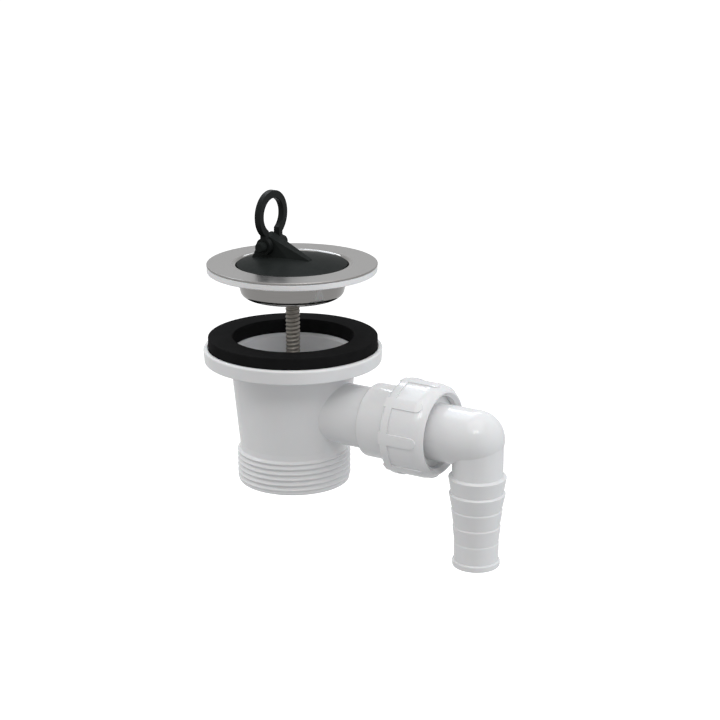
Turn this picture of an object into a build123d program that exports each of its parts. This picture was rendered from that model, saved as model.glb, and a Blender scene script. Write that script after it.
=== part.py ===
from build123d import *
import os
from math import cos, radians, sin, tan

# Sink drain with a side outlet for an appliance hose, in millimetres.
# The drain axis is Z and the side branch points along +X. Z = 0 is the underside of the sink: the top of the
# black gasket. The strainer stands up on its screw, open for the sink to go between the washer and the gasket,
# and the stopper sits in the bowl.

# Clamped stack under the rim
sink_gap = 27.5
rim_radius = 35.0
rim_edge = 0.25
sheet = 0.8
washer_thickness = 2.5
washer_set_back = 0.1
gasket_thickness = 6.0
seal_bore_gap = 1.9
seal_edge = 0.4

# Strainer bowl
bowl_mouth_radius = 23.1
bowl_taper = 12.5
bowl_depth = 13.1
bowl_mouth_bend = 1.6
bowl_floor_bend = 2.4
drain_hole_radius = 2.8
drain_hole_circle = 12.6
drain_hole_count = 8

# Stopper
stopper_gap = 0.25
stopper_set_back = 0.4
stopper_height = 9.0
stopper_crown = 2.6
stopper_edge = 0.7
fin_apex_x = -12.4
fin_apex_height = 12.0
fin_back_slope = 65.0
fin_ridge_slope = 24.0
fin_nose = 8.6
fin_nose_slope = 40.0
fin_base_half_width = 3.45
fin_draft = 4.0
fin_bow_start = 0.0
fin_bow_top = -8.7
fin_bow_tip = 9.0
fin_bow_tip_half_width = 1.2
fin_crest = 1.5
fin_sink = 3.0

# Trunnions and pull ring
trunnion_x = -10.1
trunnion_height = 6.9
trunnion_radius = 2.1
trunnion_half_length = 9.2
trunnion_edge = 0.4
trunnion_clearance = 0.1
ring_radius = 10.1
ring_eye_radius = 6.9
ring_rise = 12.3
ring_depth = 2.7
leg_gap = 7.4
leg_width = 2.4
eyelet_radius = 3.4
ring_edge = 0.35

# Clamp screw and its insert
screw_radius = 3.0
screw_length = 40.0
screw_head_radius = 5.6
screw_dome = 1.9
screw_head_rim = 0.3
screw_tip_chamfer = 0.8
screw_slot_width = 1.7
screw_slot_depth = 1.5
screw_slot_angle = 102.0
screw_hole_gap = 0.3
screw_thread_clearance = 0.05
insert_wall = 1.4
insert_length = 12.0
insert_chamfer = 0.4
insert_seat_gap = 0.02

# Body flange and barrel
flange_radius = 37.1
flange_height = 5.9
flange_draft = 0.4
flange_edge = 0.9
flange_lip = 1.6
flange_under_edge = 0.5
recess_depth = 1.5
recess_gap = 0.4
barrel_top_radius = 26.0
barrel_bottom_radius = 22.6
barrel_length = 35.0
barrel_wall = 2.45
barrel_lip = 1.2

# Threaded outlet
thread_radius = 23.75
thread_pitch = 2.309
thread_depth = 1.3
thread_count = 6
thread_crest = 0.6
thread_lead = 2.3
thread_tail = 3.0
outlet_bore_radius = 20.2
outlet_edge = 0.6

# Boss for the screw insert
boss_clearance = 2.8
boss_wall = 2.3
boss_length = 14.0
web_thickness = 2.0
web_height = 9.0
web_count = 4

# Side branch
branch_drop = 19.3
branch_radius = 12.65
branch_bore_radius = 10.2
branch_blend = 0.4
branch_length = 39.3
socket_radius = 15.15
socket_bore_radius = 12.4
socket_edge = 1.2
socket_length = 15.7
union_thread_radius = 16.6
union_thread_length = 8.3
union_thread_edge = 0.8

# Union nut, seal and elbow collar
nut_skirt = 2.0
nut_collar_width = 4.0
nut_collar_radius = 19.6
nut_radius = 19.15
nut_lip = 3.7
nut_hole_radius = 14.7
nut_hole_chamfer = 1.4
nut_face_width = 0.5
nut_back_edge = 1.5
nut_front_length = 5.5
nut_front_edge = 0.8
nut_thread_gap = 0.15
nut_rib_count = 8
nut_rib_width = 4.6
nut_rib_inset = 2.4
seal_thickness = 2.0
seal_width = 3.0
collar_radius = 16.2
collar_thickness = 2.7
swivel_gap = 0.1

# Hose elbow
elbow_length = 22.2
elbow_radius = 11.65
elbow_bore_radius = 9.2
bend_set_back = 1.2
tail_radius = 10.2
tail_bore_radius = 6.9
barb_start = 15.3
barb_pitch = 6.95
barb_radii = (11.65, 11.35, 10.3, 9.65, 9.05)
barb_feet = (10.55, 10.05, 9.35, 8.92)
barb_step = 0.6
barb_edge = 0.25
tail_end_radius = 8.9
tail_length = 52.9
bead_radius = 9.6
bead_height = 2.6
bead_edge = 0.6

# Heights that follow from the stack
rim_top = sink_gap + washer_thickness + sheet
bowl_floor = rim_top - bowl_depth
clamped_floor = bowl_floor - sink_gap
recess_floor = -gasket_thickness
flange_top = recess_floor + recess_depth
flange_bottom = flange_top - flange_height
barrel_end = flange_bottom - barrel_length
body_bottom = barrel_end - thread_lead - (thread_count - 1) * thread_pitch - thread_tail
branch_height = flange_bottom - branch_drop
dimple_depth = screw_head_radius - screw_radius
boss_top = clamped_floor - dimple_depth - sheet - boss_clearance
stopper_top = rim_top - stopper_set_back
stopper_bottom = stopper_top - stopper_height
trunnion_z = stopper_top + trunnion_height

# Radii that follow from a fit
bowl_slope = tan(radians(bowl_taper))
stopper_radius = bowl_mouth_radius - stopper_set_back * bowl_slope - stopper_gap / cos(radians(bowl_taper))
washer_radius = rim_radius - washer_set_back
seal_bore_radius = bowl_mouth_radius + seal_bore_gap
recess_radius = flange_radius - flange_lip
gasket_radius = recess_radius - recess_gap
insert_radius = screw_radius + screw_thread_clearance + insert_wall
boss_radius = insert_radius + boss_wall
nut_bore_radius = union_thread_radius + nut_thread_gap
nut_face_radius = nut_hole_radius + nut_hole_chamfer + nut_face_width
seal_radius = collar_radius

# Places along the branch that follow from its lengths
union_thread_start = branch_length + socket_length
union_thread_end = union_thread_start + union_thread_length
collar_start = union_thread_end + seal_thickness
lip_start = collar_start + collar_thickness + swivel_gap
nut_start = union_thread_start - nut_skirt
nut_end = lip_start + nut_lip
nut_front = nut_end - nut_front_length
nut_rib_end = nut_end - nut_rib_inset
elbow_reach = collar_start + elbow_length
bend_centre = elbow_reach - bend_set_back

# Two lengths that differ by less than this are the same
same = 0.0001


def barrel_radius(z):
    """Outside radius of the tapered barrel at a height."""
    share = (flange_bottom - z) / barrel_length
    return barrel_top_radius + (barrel_bottom_radius - barrel_top_radius) * share


def round_edges(builder, radius):
    """Circular edges of one radius."""
    circles = builder.edges().filter_by(GeomType.CIRCLE)
    return circles.filter_by(lambda edge: abs(edge.radius - radius) < same)


def corners_at(builder, radius):
    """Corners of the tail's profile at one radius from the tail axis."""
    return builder.vertices().filter_by(lambda corner: abs(corner.X - elbow_reach - radius) < same)


os.makedirs("parts", exist_ok=True)

# Stopper fin: a keel with a sloping ridge, drafted flanks and a bow that narrows to the nose
fin_base = stopper_top + stopper_crown
ridge_fall = tan(radians(fin_ridge_slope))
nose_fall = tan(radians(fin_nose_slope))
fin_apex = stopper_top + fin_apex_height
fin_shoulder = fin_apex_x - (fin_apex_height - (stopper_crown - fin_sink)) / tan(radians(fin_back_slope))
nose_top_x = (fin_apex - fin_base + fin_apex_x * ridge_fall - fin_nose * nose_fall) / (ridge_fall - nose_fall)
nose_top = fin_apex - (nose_top_x - fin_apex_x) * ridge_fall
bow_top_z = fin_apex - (fin_bow_top - fin_apex_x) * ridge_fall
bow_top_half_width = fin_base_half_width - (bow_top_z - fin_base) * tan(radians(fin_draft))

with BuildPart() as fin:
    with BuildSketch(Plane.XZ) as fin_profile:
        with BuildLine():
            Polyline(
                (fin_shoulder, fin_base - fin_sink),
                (fin_apex_x, fin_apex),
                (nose_top_x, nose_top),
                (fin_nose + fin_sink / nose_fall, fin_base - fin_sink),
                close=True,
            )
        make_face()
        fillet(fin_profile.vertices().sort_by(Axis.Y)[-1], radius=fin_crest)
    extrude(amount=fin_base_half_width + fin_sink, both=True)
    for side in (-1, 1):
        flank = Plane(
            origin=(0, side * fin_base_half_width, fin_base),
            z_dir=(0, side * cos(radians(fin_draft)), sin(radians(fin_draft))),
        )
        split(bisect_by=flank, keep=Keep.BOTTOM)
        bow_foot = Vector(fin_bow_start, side * fin_base_half_width, fin_base)
        bow_top = Vector(fin_bow_top, side * bow_top_half_width, bow_top_z)
        bow_tip = Vector(fin_bow_tip, side * fin_bow_tip_half_width, fin_base)
        bow = Plane(origin=bow_foot, z_dir=(bow_top - bow_foot).cross(bow_tip - bow_foot) * side)
        split(bisect_by=bow, keep=Keep.BOTTOM)

# Stopper: a tapered rubber plug with a domed top, the fin and two trunnions
with BuildPart() as stopper:
    with BuildSketch(Plane.XZ) as plug_profile:
        with BuildLine():
            TangentArc((0, stopper_top + stopper_crown), (stopper_radius, stopper_top), tangent=(1, 0))
            Polyline(
                (stopper_radius, stopper_top),
                (stopper_radius - stopper_height * bowl_slope, stopper_bottom),
                (0, stopper_bottom),
                (0, stopper_top + stopper_crown),
            )
        make_face()
    revolve(axis=Axis.Z)
    fillet(stopper.edges().group_by(Axis.Z)[0], radius=stopper_edge)
    add(fin.part)
    with Locations((trunnion_x, 0, trunnion_z)):
        Cylinder(trunnion_radius, 2 * trunnion_half_length, rotation=(90, 0, 0))
    trunnion_ends = stopper.faces().sort_by(Axis.Y)
    chamfer(trunnion_ends[0].edges() + trunnion_ends[-1].edges(), length=trunnion_edge)
stopper.part.label = "stopper"
export_step(stopper.part, "parts/stopper.step")

# Pull ring: an omega whose two legs end in eyelets on the trunnions
ring_centre = trunnion_z + ring_rise
leg_centre = leg_gap / 2 + leg_width / 2
with BuildPart() as stopper_ring:
    with BuildSketch(Plane.YZ.offset(trunnion_x)) as ring_face:
        with Locations((0, ring_centre)):
            Circle(ring_radius)
        with Locations((-leg_centre, trunnion_z), (leg_centre, trunnion_z)):
            Rectangle(leg_width, ring_rise, align=(Align.CENTER, Align.MIN))
        with Locations((0, ring_centre)):
            Circle(ring_eye_radius, mode=Mode.SUBTRACT)
            Rectangle(leg_gap, ring_rise, align=(Align.CENTER, Align.MAX), mode=Mode.SUBTRACT)
    extrude(amount=ring_depth / 2, both=True)
    for side in (-1, 1):
        with Locations((trunnion_x, side * leg_centre, trunnion_z)):
            Cylinder(eyelet_radius, leg_width, rotation=(90, 0, 0))
    with Locations((trunnion_x, 0, trunnion_z)):
        Cylinder(
            trunnion_radius + trunnion_clearance, 2 * trunnion_half_length, rotation=(90, 0, 0), mode=Mode.SUBTRACT
        )
    for rounded in (ring_radius, ring_eye_radius):
        fillet(round_edges(stopper_ring, rounded), radius=ring_edge)
stopper_ring.part.label = "stopper_ring"
export_step(stopper_ring.part, "parts/stopper_ring.step")

# Strainer: a bowl pressed from sheet, with a flat rim, a dimple for the screw and drain holes in its floor
bowl_floor_radius = bowl_mouth_radius - bowl_depth * bowl_slope
screw_hole_radius = screw_radius + screw_hole_gap
with BuildPart() as strainer:
    with BuildSketch(Plane.XZ) as bowl_section:
        with BuildLine() as bowl_line:
            FilletPolyline(
                (rim_radius, rim_top),
                (bowl_mouth_radius, rim_top),
                (bowl_floor_radius, bowl_floor),
                (screw_head_radius + screw_hole_gap, bowl_floor),
                (screw_hole_radius, bowl_floor - dimple_depth),
                radius=(bowl_mouth_bend, bowl_floor_bend, sheet / 2),
            )
            offset(amount=sheet, side=Side.LEFT)
        make_face()
    revolve(axis=Axis.Z)
    with BuildSketch(Plane.XY.offset(bowl_floor)) as drain_holes:
        with PolarLocations(drain_hole_circle, drain_hole_count):
            Circle(drain_hole_radius)
    extrude(amount=-bowl_depth, mode=Mode.SUBTRACT)
    fillet(round_edges(strainer, rim_radius), radius=rim_edge)
strainer.part.label = "strainer"
export_step(strainer.part, "parts/strainer.step")

# Clamp screw: slotted raised countersunk head
head_seat = bowl_floor - screw_head_rim
with BuildPart() as clamp_screw:
    with BuildSketch(Plane.XZ) as screw_profile:
        with BuildLine():
            TangentArc((0, bowl_floor + screw_dome), (screw_head_radius, bowl_floor), tangent=(1, 0))
            Polyline(
                (screw_head_radius, bowl_floor),
                (screw_head_radius, head_seat),
                (screw_radius, head_seat - dimple_depth),
                (screw_radius, head_seat - screw_length + screw_tip_chamfer),
                (screw_radius - screw_tip_chamfer, head_seat - screw_length),
                (0, head_seat - screw_length),
                (0, bowl_floor + screw_dome),
            )
        make_face()
    revolve(axis=Axis.Z)
    with BuildSketch(Plane.XY.offset(bowl_floor + screw_dome)) as slot:
        Rectangle(3 * screw_head_radius, screw_slot_width, rotation=screw_slot_angle)
    extrude(amount=-screw_slot_depth, mode=Mode.SUBTRACT)
clamp_screw.part.label = "clamp_screw"
export_step(clamp_screw.part, "parts/clamp_screw.step")

# Flat washer under the steel rim
with BuildPart() as rim_washer:
    with BuildSketch(Plane.XY.offset(sink_gap)) as washer_face:
        Circle(washer_radius)
        Circle(seal_bore_radius, mode=Mode.SUBTRACT)
    extrude(amount=washer_thickness)
    fillet(rim_washer.edges().filter_by(GeomType.CIRCLE), radius=seal_edge)
rim_washer.part.label = "rim_washer"
export_step(rim_washer.part, "parts/rim_washer.step")

# Thick gasket that lies in the flange recess
with BuildPart() as sink_gasket:
    with BuildSketch(Plane.XY) as gasket_face:
        Circle(gasket_radius)
        Circle(seal_bore_radius, mode=Mode.SUBTRACT)
    extrude(amount=-gasket_thickness)
    fillet(sink_gasket.edges().filter_by(GeomType.CIRCLE), radius=seal_edge)
sink_gasket.part.label = "sink_gasket"
export_step(sink_gasket.part, "parts/sink_gasket.step")

# Body: flange, tapered barrel, ridged outlet and side branch, moulded in one
thread_root = thread_radius - thread_depth
ridge_outline = []
for turn in range(thread_count):
    crest_z = barrel_end - thread_lead - turn * thread_pitch
    ridge_outline.append((thread_radius, crest_z + thread_crest / 2))
    ridge_outline.append((thread_radius, crest_z - thread_crest / 2))
    ridge_outline.append((thread_root, crest_z - thread_pitch / 2))
bore_top_radius = barrel_top_radius - barrel_wall
web_bottom = boss_top - web_height
web_reach = barrel_radius(web_bottom) - barrel_wall / 2

with BuildPart() as drain_body:
    with BuildSketch(Plane.XZ) as outside:
        with BuildLine():
            Polyline(
                (0, flange_top),
                (flange_radius, flange_top),
                (flange_radius - flange_draft, flange_bottom),
                (barrel_top_radius, flange_bottom),
                (barrel_bottom_radius, barrel_end),
                *ridge_outline,
                (thread_root, body_bottom + outlet_edge),
                (thread_root - outlet_edge, body_bottom),
                (0, body_bottom),
                close=True,
            )
        make_face()
    revolve(axis=Axis.Z)
    with BuildSketch(Plane.YZ) as branch_section:
        with Locations((0, branch_height)):
            Circle(branch_radius)
    extrude(amount=branch_length + socket_edge)
    fillet(drain_body.edges().filter_by(GeomType.BSPLINE), radius=branch_blend)
    with BuildSketch(Plane.YZ.offset(branch_length)) as socket_section:
        with Locations((0, branch_height)):
            Circle(socket_radius)
    extrude(amount=union_thread_start - branch_length)
    with BuildSketch(Plane.YZ.offset(union_thread_start)) as union_section:
        with Locations((0, branch_height)):
            Circle(union_thread_radius)
    extrude(amount=union_thread_end - union_thread_start)
    chamfer(drain_body.faces().sort_by(Axis.X)[-1].edges(), length=union_thread_edge)
    fillet(round_edges(drain_body, socket_radius).sort_by(Axis.X)[0], radius=socket_edge)
    fillet(round_edges(drain_body, flange_radius), radius=flange_edge)
    fillet(round_edges(drain_body, flange_radius - flange_draft), radius=flange_under_edge)
    with BuildSketch(Plane.XZ) as inside:
        with BuildLine():
            Polyline(
                (0, flange_top),
                (recess_radius, flange_top),
                (recess_radius, recess_floor),
                (bore_top_radius + barrel_lip, recess_floor),
                (bore_top_radius, recess_floor - barrel_lip),
                (bore_top_radius, flange_bottom),
                (outlet_bore_radius, barrel_end),
                (outlet_bore_radius, body_bottom),
                (0, body_bottom),
                close=True,
            )
        make_face()
    revolve(axis=Axis.Z, mode=Mode.SUBTRACT)
    with BuildSketch(Plane.YZ) as branch_bore:
        with Locations((0, branch_height)):
            Circle(branch_bore_radius)
    extrude(amount=union_thread_end, mode=Mode.SUBTRACT)
    with BuildSketch(Plane.YZ.offset(branch_length + socket_edge)) as socket_bore:
        with Locations((0, branch_height)):
            Circle(socket_bore_radius)
    extrude(amount=union_thread_end - branch_length - socket_edge, mode=Mode.SUBTRACT)
    with BuildSketch(Plane.XY.offset(web_bottom)) as webs:
        with PolarLocations(0, web_count, start_angle=180 / web_count):
            Rectangle(web_reach, web_thickness, align=(Align.MIN, Align.CENTER))
    extrude(amount=web_height)
    with BuildSketch(Plane.XY.offset(boss_top)) as boss:
        Circle(boss_radius)
    extrude(amount=-boss_length)
    with BuildSketch(Plane.XY.offset(boss_top)) as insert_seat:
        Circle(insert_radius + insert_seat_gap)
    extrude(amount=-insert_length, mode=Mode.SUBTRACT)
    with BuildSketch(Plane.XY.offset(boss_top)) as screw_way:
        Circle(screw_hole_radius)
    extrude(amount=-boss_length, mode=Mode.SUBTRACT)
drain_body.part.label = "drain_body"
export_step(drain_body.part, "parts/drain_body.step")

# Brass insert that the clamp screw pulls against
with BuildPart() as screw_insert:
    with BuildSketch(Plane.XY.offset(boss_top)) as insert_face:
        Circle(insert_radius)
        Circle(screw_radius + screw_thread_clearance, mode=Mode.SUBTRACT)
    extrude(amount=-insert_length)
    chamfer(screw_insert.faces().sort_by(Axis.Z)[-1].edges().sort_by(SortBy.RADIUS)[0], length=insert_chamfer)
screw_insert.part.label = "screw_insert"
export_step(screw_insert.part, "parts/screw_insert.step")

# Flat seal between the branch and the elbow's collar
with BuildPart() as union_seal:
    with BuildSketch(Plane.YZ.offset(union_thread_end)) as seal_face:
        with Locations((0, branch_height)):
            Circle(seal_radius)
            Circle(seal_radius - seal_width, mode=Mode.SUBTRACT)
    extrude(amount=seal_thickness)
union_seal.part.label = "union_seal"
export_step(union_seal.part, "parts/union_seal.step")

# Union nut: back collar, round-ended ribs, rounded front and a lip that holds the elbow's collar
nut_axis = Axis((0, 0, branch_height), (1, 0, 0))
rib_height = nut_collar_radius - nut_radius
rib_root = (nut_bore_radius + nut_radius) / 2
rib_straight = nut_rib_end - nut_start - nut_rib_width / 2
with BuildPart() as union_nut:
    for number in range(nut_rib_count):
        turn = radians(360 / nut_rib_count * number)
        outward = (0, cos(turn), sin(turn))
        rib_plane = Plane(origin=(nut_start, 0, branch_height), x_dir=(1, 0, 0), z_dir=outward)
        with BuildSketch(rib_plane.offset(rib_root)) as rib:
            Rectangle(rib_straight, nut_rib_width, align=(Align.MIN, Align.CENTER))
            with Locations((rib_straight, 0)):
                Circle(nut_rib_width / 2)
        extrude(amount=nut_collar_radius - rib_root)
    with BuildSketch(Plane.XZ) as rib_reach:
        with BuildLine():
            Polyline(
                (nut_end, branch_height),
                (nut_start, branch_height),
                (nut_start, branch_height + nut_collar_radius),
                (nut_front, branch_height + nut_collar_radius),
            )
            TangentArc(
                (nut_front, branch_height + nut_collar_radius),
                (nut_end, branch_height + nut_face_radius + rib_height),
                tangent=(1, 0),
            )
            Line((nut_end, branch_height + nut_face_radius + rib_height), (nut_end, branch_height))
        make_face()
    revolve(axis=nut_axis, mode=Mode.INTERSECT)
    with BuildSketch(Plane.XZ) as nut_section:
        with BuildLine():
            Polyline(
                (nut_end, branch_height),
                (nut_start, branch_height),
                (nut_start, branch_height + nut_collar_radius),
                (nut_start + nut_collar_width, branch_height + nut_collar_radius),
                (nut_start + nut_collar_width, branch_height + nut_radius),
                (nut_front, branch_height + nut_radius),
            )
            TangentArc(
                (nut_front, branch_height + nut_radius),
                (nut_end, branch_height + nut_face_radius),
                tangent=(1, 0),
            )
            Line((nut_end, branch_height + nut_face_radius), (nut_end, branch_height))
        make_face()
        fillet(nut_section.vertices().group_by(Axis.X)[-1].sort_by(Axis.Y)[-1], radius=nut_front_edge)
        fillet(nut_section.vertices().group_by(Axis.X)[0].sort_by(Axis.Y)[-1], radius=nut_back_edge)
    revolve(axis=nut_axis)
    with BuildSketch(Plane.XZ) as nut_inside:
        with BuildLine():
            Polyline(
                (nut_start, branch_height),
                (nut_start, branch_height + nut_bore_radius),
                (lip_start, branch_height + nut_bore_radius),
                (lip_start, branch_height + nut_hole_radius),
                (nut_end - nut_hole_chamfer, branch_height + nut_hole_radius),
                (nut_end, branch_height + nut_hole_radius + nut_hole_chamfer),
                (nut_end, branch_height),
                close=True,
            )
        make_face()
    revolve(axis=nut_axis, mode=Mode.SUBTRACT)
union_nut.part.label = "union_nut"
export_step(union_nut.part, "parts/union_nut.step")

# Hose elbow: collar, tube with a round end, and a stepped tail with barbs and an end bead
barb_outline = []
for number, (foot, crest) in enumerate(zip((tail_radius, *barb_feet), barb_radii)):
    crest_z = branch_height - barb_start - number * barb_pitch
    barb_outline.append((elbow_reach + foot, crest_z + barb_step))
    barb_outline.append((elbow_reach + crest, crest_z))
tail_bottom = branch_height - tail_length
bead_top = tail_bottom + bead_height
with BuildPart() as hose_elbow:
    with BuildSketch(Plane.YZ.offset(collar_start)) as elbow_collar:
        with Locations((0, branch_height)):
            Circle(collar_radius)
    extrude(amount=collar_thickness)
    with BuildSketch(Plane.YZ.offset(collar_start)) as elbow_tube:
        with Locations((0, branch_height)):
            Circle(elbow_radius)
    extrude(amount=bend_centre - collar_start)
    with Locations((bend_centre, 0, branch_height)):
        Sphere(elbow_radius)
    with BuildSketch(Plane.XZ) as tail_profile:
        with BuildLine():
            Polyline(
                (elbow_reach, branch_height),
                (elbow_reach + tail_radius, branch_height),
                *barb_outline,
                (elbow_reach + tail_end_radius, bead_top),
                (elbow_reach + bead_radius, bead_top),
                (elbow_reach + bead_radius, tail_bottom),
                (elbow_reach, tail_bottom),
                close=True,
            )
        make_face()
        fillet(corners_at(tail_profile, bead_radius), radius=bead_edge)
        for crest in barb_radii:
            fillet(corners_at(tail_profile, crest), radius=barb_edge)
    revolve(axis=Axis((elbow_reach, 0, 0), (0, 0, 1)))
    with BuildSketch(Plane.YZ.offset(collar_start)) as elbow_bore:
        with Locations((0, branch_height)):
            Circle(elbow_bore_radius)
    extrude(amount=bend_centre - collar_start, mode=Mode.SUBTRACT)
    with Locations((bend_centre, 0, branch_height)):
        Sphere(elbow_bore_radius, mode=Mode.SUBTRACT)
    with BuildSketch(Plane.XY.offset(tail_bottom)) as tail_bore:
        with Locations((elbow_reach, 0)):
            Circle(tail_bore_radius)
    extrude(amount=tail_length, mode=Mode.SUBTRACT)
hose_elbow.part.label = "hose_elbow"
export_step(hose_elbow.part, "parts/hose_elbow.step")
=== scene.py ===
"""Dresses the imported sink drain: a finish on every piece, cut threads, a white studio and the camera.

All sizes are in metres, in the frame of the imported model: Z is the drain axis, +X the side branch.
"""

import logging
import math
from dataclasses import dataclass, field
from enum import Enum
from typing import Any

import bmesh
import bpy
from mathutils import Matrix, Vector

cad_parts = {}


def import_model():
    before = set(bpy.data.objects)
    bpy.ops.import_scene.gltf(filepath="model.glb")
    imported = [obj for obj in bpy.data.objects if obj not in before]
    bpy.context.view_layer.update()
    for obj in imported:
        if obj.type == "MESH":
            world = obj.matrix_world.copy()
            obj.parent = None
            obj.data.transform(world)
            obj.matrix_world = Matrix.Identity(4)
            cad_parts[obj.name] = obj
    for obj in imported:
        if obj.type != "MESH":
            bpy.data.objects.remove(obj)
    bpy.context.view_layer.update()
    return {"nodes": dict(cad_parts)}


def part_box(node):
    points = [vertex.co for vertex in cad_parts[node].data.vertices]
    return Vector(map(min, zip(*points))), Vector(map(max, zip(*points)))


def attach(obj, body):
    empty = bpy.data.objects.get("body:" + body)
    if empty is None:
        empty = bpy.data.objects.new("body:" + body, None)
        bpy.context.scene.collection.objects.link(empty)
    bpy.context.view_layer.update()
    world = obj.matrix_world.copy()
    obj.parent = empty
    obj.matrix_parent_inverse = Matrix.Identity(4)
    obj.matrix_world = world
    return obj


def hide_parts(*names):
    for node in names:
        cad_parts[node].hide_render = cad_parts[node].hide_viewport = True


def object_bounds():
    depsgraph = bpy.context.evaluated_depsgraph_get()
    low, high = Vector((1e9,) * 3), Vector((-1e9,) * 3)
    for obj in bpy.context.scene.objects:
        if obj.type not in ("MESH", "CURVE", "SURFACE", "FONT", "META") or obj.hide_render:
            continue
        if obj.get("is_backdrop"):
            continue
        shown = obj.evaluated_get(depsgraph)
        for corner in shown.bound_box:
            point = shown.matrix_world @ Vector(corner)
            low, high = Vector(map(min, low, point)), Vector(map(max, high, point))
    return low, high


LOG = logging.getLogger("sink_drain")
MM = 0.001

Colour = tuple[float, float, float]
Corners = list[bmesh.types.BMVert]
Socket = bpy.types.NodeSocket

WHITE: Colour = (1.0, 1.0, 1.0)
OPAQUE = 1.0


class Slot(Enum):
    """Names of the material slots, one for each finish."""

    STOPPER = "stopper_rubber"
    RING = "ring_plastic"
    STRAINER = "strainer_steel"
    SCREW = "screw_steel"
    WASHER = "washer_plastic"
    GASKET = "gasket_rubber"
    PLASTIC = "white_plastic"
    INSERT = "insert_brass"


class Carrier(Enum):
    """The bodies that new pieces ride on."""

    BODY = "body"
    STRAINER = "strainer"


class ShaderGraph:
    """The node tree of one material, with short ways to add and join its nodes."""

    def __init__(self, name: str) -> None:
        """Starts a material with a principled shader.

        Args:
            name: The material's name.
        """
        self.material = bpy.data.materials.new(name)
        self.material.use_nodes = True
        self.tree = self.material.node_tree
        self.tree.nodes.clear()
        self.shader = self.add("ShaderNodeBsdfPrincipled")
        output = self.add("ShaderNodeOutputMaterial")
        self.join(self.shader.outputs["BSDF"], output.inputs["Surface"])

    def add(self, kind: str, **settings: Any) -> bpy.types.Node:
        """Adds a node.

        Args:
            kind: The node's type name.
            **settings: Properties to set on the node.

        Returns:
            The new node.
        """
        node = self.tree.nodes.new(kind)
        for name, value in settings.items():
            setattr(node, name, value)
        return node

    def join(self, start: Socket, end: Socket) -> None:
        """Links one socket to another."""
        self.tree.links.new(start, end)

    def drive(self, start: Socket, name: str) -> None:
        """Links a socket to one of the shader's own, by name."""
        self.join(start, self.shader.inputs[name])

    def fix(self, name: str, value: float | tuple[float, ...]) -> None:
        """Sets one of the shader's own sockets, the same all over the surface."""
        self.shader.inputs[name].default_value = value

    def place(self) -> Socket:
        """Gives the surface point in the piece's own frame, in metres."""
        return self.add("ShaderNodeTexCoord").outputs["Object"]

    def math(self, operation: str, first: Socket, second: Socket | float) -> Socket:
        """Does one sum on sockets.

        Args:
            operation: The name of the sum.
            first: The first value.
            second: The second value, a socket or a number.

        Returns:
            The result's socket.
        """
        node = self.add("ShaderNodeMath", operation=operation)
        self.join(first, node.inputs[0])
        if isinstance(second, bpy.types.NodeSocket):
            self.join(second, node.inputs[1])
        else:
            node.inputs[1].default_value = second
        return node.outputs["Value"]

    def noise(self, place: Socket, grain: float, detail: float) -> Socket:
        """Adds a noise pattern.

        Args:
            place: The coordinates to read it at.
            grain: The size of its spots, in the units of the coordinates.
            detail: How many finer layers it has.

        Returns:
            The pattern's value, about 0 to 1.
        """
        node = self.add("ShaderNodeTexNoise")
        node.inputs["Scale"].default_value = 1.0 / grain
        node.inputs["Detail"].default_value = detail
        self.join(place, node.inputs["Vector"])
        return node.outputs["Fac"]

    def spread(self, value: Socket, low: float, high: float, start: float = 0.3, end: float = 0.7) -> Socket:
        """Maps a value to a range, smoothly and without overshoot.

        Args:
            value: The value to map.
            low: The result at the start.
            high: The result at the end.
            start: The value where the range starts. The default suits a noise pattern.
            end: The value where the range ends. The default suits a noise pattern.

        Returns:
            The mapped value.
        """
        node = self.add("ShaderNodeMapRange", interpolation_type="SMOOTHSTEP")
        self.join(value, node.inputs["Value"])
        node.inputs["From Min"].default_value = start
        node.inputs["From Max"].default_value = end
        node.inputs["To Min"].default_value = low
        node.inputs["To Max"].default_value = high
        return node.outputs["Result"]

    def blend(self, share: Socket, first: Colour, second: Colour) -> Socket:
        """Mixes two colours.

        Args:
            share: How much of the second shows, from 0 to 1.
            first: The first colour.
            second: The second colour.

        Returns:
            The mixed colour.
        """
        node = self.add("ShaderNodeMix", data_type="RGBA")
        self.join(share, node.inputs["Factor"])
        node.inputs["A"].default_value = (*first, OPAQUE)
        node.inputs["B"].default_value = (*second, OPAQUE)
        return node.outputs["Result"]

    def mottle(self, pattern: Socket, first: Colour, second: Colour) -> None:
        """Colours the surface with two tones by a noise pattern."""
        self.drive(self.blend(self.spread(pattern, 0.0, 1.0), first, second), "Base Color")

    def emboss(self, height: Socket, depth: float) -> None:
        """Bumps the surface.

        Args:
            height: The pattern, from 0 to 1.
            depth: How deep the pattern is, in metres.
        """
        node = self.add("ShaderNodeBump")
        node.inputs["Strength"].default_value = 1.0
        node.inputs["Distance"].default_value = depth
        self.join(height, node.inputs["Height"])
        self.drive(node.outputs["Normal"], "Normal")

    def axle(self) -> tuple[Socket, Socket]:
        """Gives where a point of a turned or spun surface is round the Z axis.

        Returns:
            The distance from the axis, and the angle round it.
        """
        split = self.add("ShaderNodeSeparateXYZ")
        self.join(self.place(), split.inputs["Vector"])
        across = self.math("POWER", split.outputs["X"], 2.0)
        deep = self.math("POWER", split.outputs["Y"], 2.0)
        radius = self.math("POWER", self.math("ADD", across, deep), 0.5)
        angle = self.math("ARCTAN2", split.outputs["Y"], split.outputs["X"])
        return radius, angle

    def point(self, *parts: Socket) -> Socket:
        """Joins values into coordinates.

        Args:
            *parts: Up to three values.

        Returns:
            The coordinates.
        """
        node = self.add("ShaderNodeCombineXYZ")
        for part, end in zip(parts, node.inputs):
            self.join(part, end)
        return node.outputs["Vector"]


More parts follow.
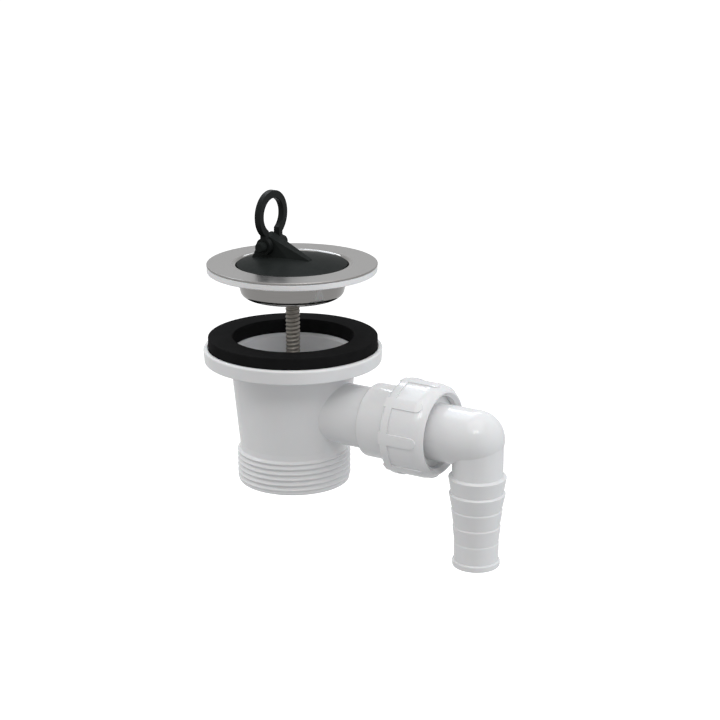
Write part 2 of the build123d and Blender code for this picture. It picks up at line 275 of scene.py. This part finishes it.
@dataclass(frozen=True)
class MouldedPlastic:
    """White injection-moulded plastic with a soft gloss and a faint orange peel."""

    name: str
    colour: Colour
    shade: Colour
    smooth: float
    rough: float
    cloud: float = 14 * MM
    cloud_detail: float = 3.0
    grain: float = 0.5 * MM
    grain_detail: float = 3.0
    peel: float = 0.002 * MM
    glow: float = 0.06
    glow_reach: float = 1.2 * MM

    def material(self) -> bpy.types.Material:
        """Builds the finish.

        Returns:
            The material.
        """
        graph = ShaderGraph(self.name)
        place = graph.place()
        graph.mottle(graph.noise(place, self.cloud, self.cloud_detail), self.colour, self.shade)
        grain = graph.noise(place, self.grain, self.grain_detail)
        graph.drive(graph.spread(grain, self.smooth, self.rough), "Roughness")
        graph.emboss(grain, self.peel)
        graph.fix("Subsurface Weight", self.glow)
        graph.fix("Subsurface Scale", self.glow_reach)
        return graph.material


@dataclass(frozen=True)
class Rubber:
    """Black rubber or plastic, moulded with a fine grain."""

    name: str
    colour: Colour
    bloom: Colour
    smooth: float
    rough: float
    shine: float
    cloud: float = 9 * MM
    cloud_detail: float = 4.0
    grain: float = 0.35 * MM
    grain_detail: float = 2.0
    relief: float = 0.005 * MM

    def material(self) -> bpy.types.Material:
        """Builds the finish.

        Returns:
            The material.
        """
        graph = ShaderGraph(self.name)
        place = graph.place()
        graph.mottle(graph.noise(place, self.cloud, self.cloud_detail), self.colour, self.bloom)
        grain = graph.noise(place, self.grain, self.grain_detail)
        graph.drive(graph.spread(grain, self.smooth, self.rough), "Roughness")
        graph.emboss(grain, self.relief)
        graph.fix("Specular IOR Level", self.shine)
        return graph.material


@dataclass(frozen=True)
class SpunSteel:
    """Pressed stainless sheet: a satin rim with fine rings round the axis, and a polished bowl."""

    name: str
    colour: Colour
    streak: Colour
    rim_rough: float
    bowl_rough: float
    bowl_edge: float
    rim_edge: float
    line: float = 0.06 * MM
    line_length: float = 0.5
    line_detail: float = 3.0
    scuff_low: float = 0.94
    scuff_high: float = 1.06
    relief: float = 0.0005 * MM

    def material(self) -> bpy.types.Material:
        """Builds the finish.

        Returns:
            The material.
        """
        graph = ShaderGraph(self.name)
        radius, angle = graph.axle()
        fine = graph.math("DIVIDE", radius, self.line)
        along = graph.math("DIVIDE", angle, self.line_length)
        lines = graph.noise(graph.point(fine, along), grain=1.0, detail=self.line_detail)
        graph.mottle(lines, self.colour, self.streak)
        polish = graph.spread(radius, self.bowl_rough, self.rim_rough, self.bowl_edge, self.rim_edge)
        scuff = graph.spread(lines, self.scuff_low, self.scuff_high)
        graph.drive(graph.math("MULTIPLY", polish, scuff), "Roughness")
        graph.emboss(lines, self.relief)
        graph.fix("Metallic", 1.0)
        return graph.material


@dataclass(frozen=True)
class PlatedMetal:
    """Turned or rolled metal with a plated or plain skin."""

    name: str
    colour: Colour
    tarnish: Colour
    smooth: float
    rough: float
    cloud: float = 2.5 * MM
    cloud_detail: float = 4.0
    grain: float = 0.15 * MM
    grain_detail: float = 2.0
    relief: float = 0.004 * MM

    def material(self) -> bpy.types.Material:
        """Builds the finish.

        Returns:
            The material.
        """
        graph = ShaderGraph(self.name)
        place = graph.place()
        cloud = graph.noise(place, self.cloud, self.cloud_detail)
        graph.mottle(cloud, self.colour, self.tarnish)
        graph.drive(graph.spread(cloud, self.smooth, self.rough), "Roughness")
        graph.emboss(graph.noise(place, self.grain, self.grain_detail), self.relief)
        graph.fix("Metallic", 1.0)
        return graph.material


Finish = MouldedPlastic | Rubber | SpunSteel | PlatedMetal


@dataclass(frozen=True)
class Thread:
    """A right-handed thread, round at crests and roots, with a crest at the given height on its +X side."""

    pitch: float
    depth: float
    crest: float = 0.0

    def ridge(self, angle: float, height: float) -> float:
        """Gives how far the thread stands out of its core at an angle, in radians, and a height."""
        turn = (height - self.crest) / self.pitch - angle / math.tau
        return self.depth * (1.0 + math.cos(math.tau * turn)) / 2.0


@dataclass(frozen=True)
class Ring:
    """One ring of a turned surface: its core radius, its height and how much of the thread shows on it."""

    radius: float
    height: float
    thread_share: float = 0.0


def ease(share: float) -> float:
    """Goes smoothly from 0 to 1 as the share does, and stays there beyond."""
    held = min(1.0, max(0.0, share))
    return held * held * (3.0 - 2.0 * held)


def turn_of(point: Vector) -> float:
    """Gives the angle of a point round the Z axis, from 0 to a full turn."""
    return math.atan2(point.y, point.x) % math.tau


def add_turned(
    shape: bmesh.types.BMesh, rings: list[Ring], thread: Thread, around: int
) -> tuple[Corners, Corners]:
    """Adds a turned and threaded surface about the Z axis.

    Args:
        shape: The mesh that it goes into.
        rings: Its rings, from the top down. A ring of no radius closes the surface.
        thread: The thread cut on it.
        around: How many steps each ring has.

    Returns:
        The corners of its first ring and of its last one.
    """
    angles = [math.tau * step / around for step in range(around)]
    first: Corners = []
    above: Corners = []
    for ring in rings:
        if ring.radius == 0.0:
            here = [shape.verts.new((0.0, 0.0, ring.height))]
        else:
            here = []
            for angle in angles:
                radius = ring.radius + ring.thread_share * thread.ridge(angle, ring.height)
                point = (radius * math.cos(angle), radius * math.sin(angle), ring.height)
                here.append(shape.verts.new(point))
        if above:
            add_band(shape, above, here)
        first = first or here
        above = here
    return first, above


def add_band(shape: bmesh.types.BMesh, above: Corners, below: Corners) -> None:
    """Adds the faces between two rings of a turned surface, of which one may be a single point.

    Args:
        shape: The mesh that they go into.
        above: The corners of the upper ring.
        below: The corners of the lower ring.
    """
    count = max(len(above), len(below))
    for step in range(count):
        after = (step + 1) % count
        if len(above) == 1:
            corners = (above[0], below[step], below[after])
        elif len(below) == 1:
            corners = (above[step], below[0], above[after])
        else:
            corners = (above[step], below[step], below[after], above[after])
        shape.faces.new(corners).smooth = True


def add_seam(shape: bmesh.types.BMesh, above: Corners, below: Corners) -> None:
    """Adds the faces between two rings with different numbers of corners, both in order of their angles.

    Args:
        shape: The mesh that they go into.
        above: The corners of the upper or outer ring.
        below: The corners of the lower or inner ring.
    """
    high_turns = [turn_of(corner.co) for corner in above]
    low_turns = [turn_of(corner.co) for corner in below]
    high_turns.append(high_turns[0] + math.tau)
    low_turns.append(low_turns[0] + math.tau)
    high = 0
    low = 0
    while high < len(above) or low < len(below):
        pair = (above[high % len(above)], below[low % len(below)])
        if low == len(below) or (high < len(above) and high_turns[high + 1] <= low_turns[low + 1]):
            high += 1
            third = above[high % len(above)]
        else:
            low += 1
            third = below[low % len(below)]
        shape.faces.new((*pair, third)).smooth = True


def settle(name: str, shape: bmesh.types.BMesh) -> bpy.types.Mesh:
    """Turns a mesh under work into a finished one.

    Args:
        name: The mesh's name.
        shape: The mesh under work, which is freed.

    Returns:
        The finished mesh.
    """
    mesh = bpy.data.meshes.new(name)
    shape.to_mesh(mesh)
    shape.free()
    return mesh


def link_piece(name: str, mesh: bpy.types.Mesh) -> bpy.types.Object:
    """Makes an object of a mesh and puts it in the scene.

    Args:
        name: The piece's name.
        mesh: Its mesh, in the frame of the model.

    Returns:
        The new piece.
    """
    piece = bpy.data.objects.new(name, mesh)
    bpy.context.scene.collection.objects.link(piece)
    return piece


def carve(piece: bpy.types.Object, cutter: bpy.types.Object) -> None:
    """Cuts one solid out of another and throws the cutter away.

    Args:
        piece: The solid that is cut.
        cutter: The solid that is taken out of it.
    """
    cut = piece.modifiers.new("cut", "BOOLEAN")
    cut.operation = "DIFFERENCE"
    cut.solver = "EXACT"
    cut.object = cutter
    bpy.context.view_layer.update()
    done = piece.evaluated_get(bpy.context.evaluated_depsgraph_get())
    mesh = bpy.data.meshes.new_from_object(done)
    piece.modifiers.clear()
    piece.data = mesh
    bpy.data.objects.remove(cutter)


def stand_in(piece: bpy.types.Object, node: str, carrier: Carrier) -> None:
    """Shows a new piece, which rides on a body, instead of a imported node."""
    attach(piece, carrier.value)
    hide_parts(node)


class Wardrobe:
    """Makes each finish once and puts it on pieces."""

    def __init__(self, nodes: dict[str, bpy.types.Object]) -> None:
        """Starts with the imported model's nodes by name, and with no finish made."""
        self.nodes = nodes
        self.made: dict[str, bpy.types.Material] = {}

    def wear(self, piece: bpy.types.Object, finish: Finish) -> None:
        """Puts a finish on a piece.

        Args:
            piece: The piece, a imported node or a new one.
            finish: What it wears.
        """
        if finish.name not in self.made:
            self.made[finish.name] = finish.material()
        piece.data.materials.clear()
        piece.data.materials.append(self.made[finish.name])
        LOG.info("%s wears %s", piece.name, finish.name)

    def dress(self, node: str, finish: Finish) -> None:
        """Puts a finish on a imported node, by its name."""
        self.wear(self.nodes[node], finish)


@dataclass
class StopperSet:
    """Rubber stopper with its fin and trunnions, and the pull ring on them."""

    rubber: Rubber = Rubber(
        name="stopper_rubber",
        colour=(0.0142, 0.0163, 0.0155),
        bloom=(0.0168, 0.0190, 0.0182),
        smooth=0.34,
        rough=0.44,
        shine=0.009,
    )
    ring_plastic: Rubber = Rubber(
        name="ring_plastic",
        colour=(0.0100, 0.0115, 0.0110),
        bloom=(0.0130, 0.0145, 0.0140),
        smooth=0.30,
        rough=0.38,
        shine=0.06,
    )

    def build(self, wardrobe: Wardrobe) -> None:
        """Dresses the stopper and its ring."""
        wardrobe.dress("stopper", self.rubber)
        wardrobe.dress("stopper_ring", self.ring_plastic)


@dataclass
class StrainerSet:
    """Steel strainer, white rim washer, and the clamp screw with its thread cut."""

    steel: SpunSteel = SpunSteel(
        name="strainer_steel",
        colour=(0.325, 0.317, 0.308),
        streak=(0.312, 0.304, 0.296),
        rim_rough=0.30,
        bowl_rough=0.10,
        bowl_edge=23.6 * MM,
        rim_edge=25.2 * MM,
    )
    washer_plastic: MouldedPlastic = MouldedPlastic(
        name="washer_plastic",
        colour=(0.78, 0.78, 0.785),
        shade=(0.75, 0.75, 0.755),
        smooth=0.40,
        rough=0.52,
    )
    screw_metal: PlatedMetal = PlatedMetal(
        name="screw_steel",
        colour=(0.30, 0.28, 0.25),
        tarnish=(0.27, 0.252, 0.225),
        smooth=0.42,
        rough=0.50,
    )
    screw_thread: Thread = Thread(pitch=1.7 * MM, depth=0.30 * MM)
    shank_radius: float = 3.0 * MM
    head_dome: float = 1.9 * MM
    head_rim: float = 0.3 * MM
    neck: float = 1.2 * MM
    tip_chamfer: float = 0.8 * MM
    slot_width: float = 1.7 * MM
    slot_depth: float = 1.5 * MM
    slot_angle: float = math.radians(102.0)
    dome_rings: int = 12
    rings_per_pitch: int = 12
    around: int = 72
    crease: float = math.radians(38.0)

    def build(self, wardrobe: Wardrobe) -> None:
        """Makes the threaded screw and dresses the set.

        Args:
            wardrobe: Where the finishes are kept.
        """
        screw = link_piece("clamp_screw_threaded", self._screw_mesh())
        carve(screw, self._slot_cutter())
        screw.data.set_sharp_from_angle(angle=self.crease)
        wardrobe.wear(screw, self.screw_metal)
        stand_in(screw, "clamp_screw", Carrier.STRAINER)
        wardrobe.dress("strainer", self.steel)
        wardrobe.dress("rim_washer", self.washer_plastic)

    def _head_rings(self, top: float, head_radius: float) -> list[Ring]:
        """Gives the rings of the raised countersunk head.

        Args:
            top: The height of its crown.
            head_radius: Its radius.

        Returns:
            The rings, from the crown to the neck.
        """
        sphere = (head_radius**2 + self.head_dome**2) / (2.0 * self.head_dome)
        rings = [Ring(0.0, top)]
        for step in range(1, self.dome_rings + 1):
            radius = head_radius * step / self.dome_rings
            rings.append(Ring(radius, top - sphere + math.sqrt(sphere**2 - radius**2)))
        seat = top - self.head_dome - self.head_rim
        rings.append(Ring(head_radius, seat))
        rings.append(Ring(self.shank_radius, seat - (head_radius - self.shank_radius)))
        return rings

    def _screw_mesh(self) -> bpy.types.Mesh:
        """Makes the screw without its slot.

        Returns:
            The screw's mesh.
        """
        low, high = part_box("clamp_screw")
        rings = self._head_rings(high.z, (high.x - low.x) / 2.0)
        start = rings[-1].height
        end = low.z + self.tip_chamfer
        core = self.shank_radius - self.screw_thread.depth
        count = math.ceil((start - end) / self.screw_thread.pitch * self.rings_per_pitch)
        for step in range(1, count + 1):
            height = start + (end - start) * step / count
            share = ease((start - height) / self.neck)
            radius = self.shank_radius + (core - self.shank_radius) * share
            rings.append(Ring(radius, height, share))
        rings.append(Ring(core - self.tip_chamfer / 2.0, low.z))
        rings.append(Ring(0.0, low.z))
        shape = bmesh.new()
        add_turned(shape, rings, self.screw_thread, self.around)
        return settle("clamp_screw_threaded", shape)

    def _slot_cutter(self) -> bpy.types.Object:
        """Makes the bar that cuts the screwdriver slot. Half of it stands above the head.

        Returns:
            The bar, in place across the head.
        """
        low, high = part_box("clamp_screw")
        shape = bmesh.new()
        bmesh.ops.create_cube(shape, size=1.0)
        cutter = link_piece("slot_cutter", settle("slot_cutter", shape))
        cutter.scale = (2.0 * (high.x - low.x), self.slot_width, 2.0 * self.slot_depth)
        cutter.rotation_euler = (0.0, 0.0, self.slot_angle)
        cutter.location = (0.0, 0.0, high.z)
        return cutter


@dataclass
class BodySet:
    """White body with its outlet thread cut, the black gasket in its flange and the brass insert."""

    plastic: MouldedPlastic
    rubber: Rubber
    brass: PlatedMetal = PlatedMetal(
        name="insert_brass",
        colour=(0.72, 0.53, 0.25),
        tarnish=(0.62, 0.44, 0.19),
        smooth=0.22,
        rough=0.34,
    )
    outlet_thread: Thread = Thread(pitch=2.309 * MM, depth=0.95 * MM, crest=0.5 * MM)
    outlet_root: float = 22.8 * MM
    outlet_land: float = 23.3 * MM
    outlet_crest: float = 23.75 * MM
    outlet_foot: float = 21.85 * MM
    outlet_length: float = 16.845 * MM
    outlet_round: float = 0.9 * MM
    barrel_end_radius: float = 22.6 * MM
    thread_lead: float = 2.0 * MM
    thread_run_in: float = 1.4 * MM
    thread_run_out: float = 1.4 * MM
    round_steps: int = 6
    rings_per_pitch: int = 14
    around: int = 240
    slack: float = 0.02 * MM
    digits: int = 7

    def build(self, wardrobe: Wardrobe) -> None:
        """Cuts the outlet thread and dresses the set.

        Args:
            wardrobe: Where the finishes are kept.
        """
        body = link_piece("drain_body_threaded", self._body_mesh(wardrobe.nodes["drain_body"]))
        wardrobe.wear(body, self.plastic)
        stand_in(body, "drain_body", Carrier.BODY)
        wardrobe.dress("sink_gasket", self.rubber)
        wardrobe.dress("screw_insert", self.brass)

    def _body_mesh(self, node: bpy.types.Object) -> bpy.types.Mesh:
        """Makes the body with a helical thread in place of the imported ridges.

        Args:
            node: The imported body.

        Returns:
            The new mesh.
        """
        low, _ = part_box("drain_body")
        bottom = low.z
        top = low.z + self.outlet_length
        shape = bmesh.new()
        shape.from_mesh(node.data)
        ridged = [
            face
            for face in shape.faces
            if all(self._on_ridges(corner.co, bottom, top) for corner in face.verts)
        ]
        bmesh.ops.delete(shape, geom=ridged, context="FACES")
        barrel_end = self._open_ring(shape, self.barrel_end_radius, top)
        foot = self._open_ring(shape, self.outlet_foot, bottom)
        first, last = add_turned(shape, self._thread_rings(bottom, top), self.outlet_thread, self.around)
        add_seam(shape, barrel_end, first)
        add_seam(shape, last, foot)
        return settle("drain_body_threaded", shape)

    def _on_ridges(self, point: Vector, bottom: float, top: float) -> bool:
        """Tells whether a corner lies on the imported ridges.

        Args:
            point: The corner.
            bottom: The lowest height of the outlet.
            top: The height where the barrel ends.

        Returns:
            Whether it does.
        """
        radius = math.hypot(point.x, point.y)
        inside = bottom - self.slack <= point.z <= top + self.slack
        return inside and self.outlet_foot - self.slack <= radius <= self.outlet_crest + self.slack

    def _open_ring(self, shape: bmesh.types.BMesh, radius: float, height: float) -> Corners:
        """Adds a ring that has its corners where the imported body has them.

        Args:
            shape: The body's mesh.
            radius: The ring's radius.
            height: The ring's height.

        Returns:
            The new corners, in order of their angles.
        """
        found: dict[tuple[float, float], Vector] = {}
        for corner in shape.verts:
            point = corner.co
            level = abs(point.z - height) < self.slack
            if level and abs(math.hypot(point.x, point.y) - radius) < self.slack:
                found[round(point.x, self.digits), round(point.y, self.digits)] = point.copy()
        return [shape.verts.new(point) for point in sorted(found.values(), key=turn_of)]

    def _thread_rings(self, bottom: float, top: float) -> list[Ring]:
        """Gives the rings of the threaded outlet: a lead, the thread, a plain land and a round edge.

        Args:
            bottom: The lowest height of the outlet.
            top: The height where the barrel ends.

        Returns:
            The rings, from just below the barrel to the end of the round edge.
        """
        edge = bottom + self.outlet_round
        count = math.ceil((top - edge) / self.outlet_thread.pitch * self.rings_per_pitch)
        rings = []
        for step in range(1, count + 1):
            height = top + (edge - top) * step / count
            begun = ease((top - self.thread_lead - height) / self.thread_run_out)
            kept = ease((height - edge) / self.thread_run_in)
            radius = self.barrel_end_radius + (self.outlet_root - self.barrel_end_radius) * begun
            radius += (self.outlet_land - self.outlet_root) * (1.0 - kept)
            rings.append(Ring(radius, height, begun * kept))
        for step in range(1, self.round_steps + 1):
            turn = math.pi / 2.0 * step / self.round_steps
            radius = self.outlet_land - self.outlet_round * (1.0 - math.cos(turn))
            rings.append(Ring(radius, edge - self.outlet_round * math.sin(turn)))
        return rings


@dataclass
class HoseUnion:
    """Union nut, its seal and the barbed hose elbow."""

    plastic: MouldedPlastic
    rubber: Rubber

    def build(self, wardrobe: Wardrobe) -> None:
        """Dresses the union's pieces.

        Args:
            wardrobe: Where the finishes are kept.
        """
        wardrobe.dress("union_nut", self.plastic)
        wardrobe.dress("hose_elbow", self.plastic)
        wardrobe.dress("union_seal", self.rubber)


@dataclass(frozen=True)
class SoftBox:
    """One flat studio lamp that faces the object. Its angles are in degrees, and azimuth 0 is the -Y side."""

    name: str
    azimuth: float
    elevation: float
    distance: float
    width: float
    height: float
    radiance: float
    colour: Colour = WHITE
    mirrored: bool = True

    def hang(self, target: Vector) -> None:
        """Hangs the lamp.

        Args:
            target: The point it faces.
        """
        around = math.radians(self.azimuth)
        up = math.radians(self.elevation)
        away = Vector((math.sin(around) * math.cos(up), -math.cos(around) * math.cos(up), math.sin(up)))
        lamp = bpy.data.lights.new(self.name, "AREA")
        lamp.shape = "RECTANGLE"
        lamp.size = self.width
        lamp.size_y = self.height
        lamp.energy = self.radiance * math.pi * self.width * self.height
        lamp.color = self.colour
        stand = bpy.data.objects.new(self.name, lamp)
        stand.location = target + away * self.distance
        stand.rotation_euler = (-away).to_track_quat("-Z", "Y").to_euler()
        stand.visible_glossy = self.mirrored
        bpy.context.scene.collection.objects.link(stand)


LAMPS = (
    SoftBox("lamp_top", azimuth=32.0, elevation=66.0, distance=1.1, width=1.2, height=1.2, radiance=1.15),
    SoftBox("lamp_front", azimuth=32.0, elevation=46.0, distance=1.3, width=0.5, height=0.3, radiance=4.2),
    SoftBox(
        "lamp_strip",
        azimuth=222.0,
        elevation=42.0,
        distance=1.0,
        width=0.9,
        height=0.10,
        radiance=5.5,
        colour=(0.90, 0.95, 1.0),
    ),
    SoftBox(
        "lamp_sky",
        azimuth=245.0,
        elevation=56.0,
        distance=1.0,
        width=0.9,
        height=0.40,
        radiance=2.0,
        colour=(0.84, 0.91, 1.0),
    ),
    SoftBox(
        "lamp_left",
        azimuth=-70.0,
        elevation=24.0,
        distance=1.2,
        width=0.6,
        height=1.0,
        radiance=1.9,
        mirrored=False,
    ),
    SoftBox(
        "lamp_right",
        azimuth=112.0,
        elevation=18.0,
        distance=1.2,
        width=0.8,
        height=1.1,
        radiance=2.0,
        colour=(0.92, 0.96, 1.0),
        mirrored=False,
    ),
)


@dataclass
class Studio:
    """A white studio: a pale floor well below the drain, a white surround and soft lamps."""

    lamps: tuple[SoftBox, ...]
    floor_drop: float = 0.24
    floor_size: float = 12.0
    floor_colour: Colour = (0.52, 0.52, 0.52)
    floor_lift: float = 0.85
    ambient: float = 0.45
    mirrored: float = 0.50

    def build(self) -> None:
        """Builds the surround, the floor and the lamps."""
        low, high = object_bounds()
        centre = (low + high) / 2
        self._surround()
        self._floor(low.z - self.floor_drop)
        for lamp in self.lamps:
            lamp.hang(centre)
        view = bpy.context.scene.view_settings
        view.view_transform = "Standard"

    def _seen_white(self, tree: bpy.types.NodeTree) -> Socket:
        """Gives how white the studio looks: fully to the camera and through glass, less in a reflection.

        Args:
            tree: The node tree that asks.

        Returns:
            The share of white, which is 0 for other light.
        """
        path = tree.nodes.new("ShaderNodeLightPath")
        mirrored = tree.nodes.new("ShaderNodeMath")
        mirrored.operation = "MULTIPLY"
        tree.links.new(path.outputs["Is Glossy Ray"], mirrored.inputs[0])
        mirrored.inputs[1].default_value = self.mirrored
        seen = path.outputs["Is Camera Ray"]
        for other in (mirrored.outputs["Value"], path.outputs["Is Transmission Ray"]):
            either = tree.nodes.new("ShaderNodeMath")
            either.operation = "MAXIMUM"
            tree.links.new(seen, either.inputs[0])
            tree.links.new(other, either.inputs[1])
            seen = either.outputs["Value"]
        return seen

    def _surround(self) -> None:
        """Makes the world white to look at, and softer as a light."""
        world = bpy.data.worlds.new("white_surround")
        world.use_nodes = True
        tree = world.node_tree
        tree.nodes.clear()
        light = tree.nodes.new("ShaderNodeBackground")
        light.inputs["Strength"].default_value = self.ambient
        white = tree.nodes.new("ShaderNodeBackground")
        for node in (light, white):
            node.inputs["Color"].default_value = (*WHITE, OPAQUE)
        mix = tree.nodes.new("ShaderNodeMixShader")
        tree.links.new(self._seen_white(tree), mix.inputs["Fac"])
        tree.links.new(light.outputs["Background"], mix.inputs[1])
        tree.links.new(white.outputs["Background"], mix.inputs[2])
        output = tree.nodes.new("ShaderNodeOutputWorld")
        tree.links.new(mix.outputs["Shader"], output.inputs["Surface"])
        bpy.context.scene.world = world

    def _floor(self, height: float) -> None:
        """Lays the pale floor.

        Args:
            height: Its height.
        """
        graph = ShaderGraph("pale_floor")
        graph.fix("Base Color", (*self.floor_colour, OPAQUE))
        graph.fix("Roughness", 1.0)
        graph.fix("Specular IOR Level", 0.0)
        graph.fix("Emission Color", (*WHITE, OPAQUE))
        lift = graph.math("MULTIPLY", self._seen_white(graph.tree), self.floor_lift)
        graph.drive(lift, "Emission Strength")
        half = self.floor_size / 2
        mesh = bpy.data.meshes.new("floor")
        corners = [(-half, -half, height), (half, -half, height), (half, half, height), (-half, half, height)]
        mesh.from_pydata(corners, [], [(0, 1, 2, 3)])
        mesh.materials.append(graph.material)
        floor = link_piece("floor", mesh)
        floor.visible_glossy = False
        floor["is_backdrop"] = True


@dataclass
class ProductCamera:
    """The long-lens camera that was fitted to the photograph."""

    place: Vector = field(default_factory=lambda: Vector((0.40662, -0.60081, 0.20738)))
    target: Vector = field(default_factory=lambda: Vector((0.02353, 0.01465, -0.01086)))
    lens: float = 91.2
    sensor: float = 36.0

    def build(self) -> None:
        """Sets up the camera and gives it to the scene."""
        data = bpy.data.cameras.new("product_camera")
        data.lens = self.lens
        data.sensor_width = self.sensor
        camera = bpy.data.objects.new("product_camera", data)
        camera.location = self.place
        camera.rotation_euler = (self.target - self.place).to_track_quat("-Z", "Y").to_euler()
        bpy.context.scene.collection.objects.link(camera)
        bpy.context.scene.camera = camera


WHITE_PLASTIC = MouldedPlastic(
    name="white_plastic",
    colour=(0.76, 0.76, 0.765),
    shade=(0.745, 0.745, 0.75),
    smooth=0.11,
    rough=0.15,
)
GASKET_RUBBER = Rubber(
    name="gasket_rubber",
    colour=(0.0095, 0.0095, 0.0097),
    bloom=(0.0115, 0.0115, 0.0118),
    smooth=0.55,
    rough=0.70,
    shine=0.006,
)


def main() -> None:
    """Builds the drain's sub-assemblies, the studio and the camera in order."""
    logging.basicConfig(level=logging.INFO, format="%(name)s: %(message)s")
    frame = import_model()
    wardrobe = Wardrobe(frame["nodes"])
    StopperSet().build(wardrobe)
    StrainerSet().build(wardrobe)
    BodySet(WHITE_PLASTIC, GASKET_RUBBER).build(wardrobe)
    HoseUnion(WHITE_PLASTIC, GASKET_RUBBER).build(wardrobe)
    Studio(LAMPS).build()
    ProductCamera().build()


if __name__ == "__main__":
    main()
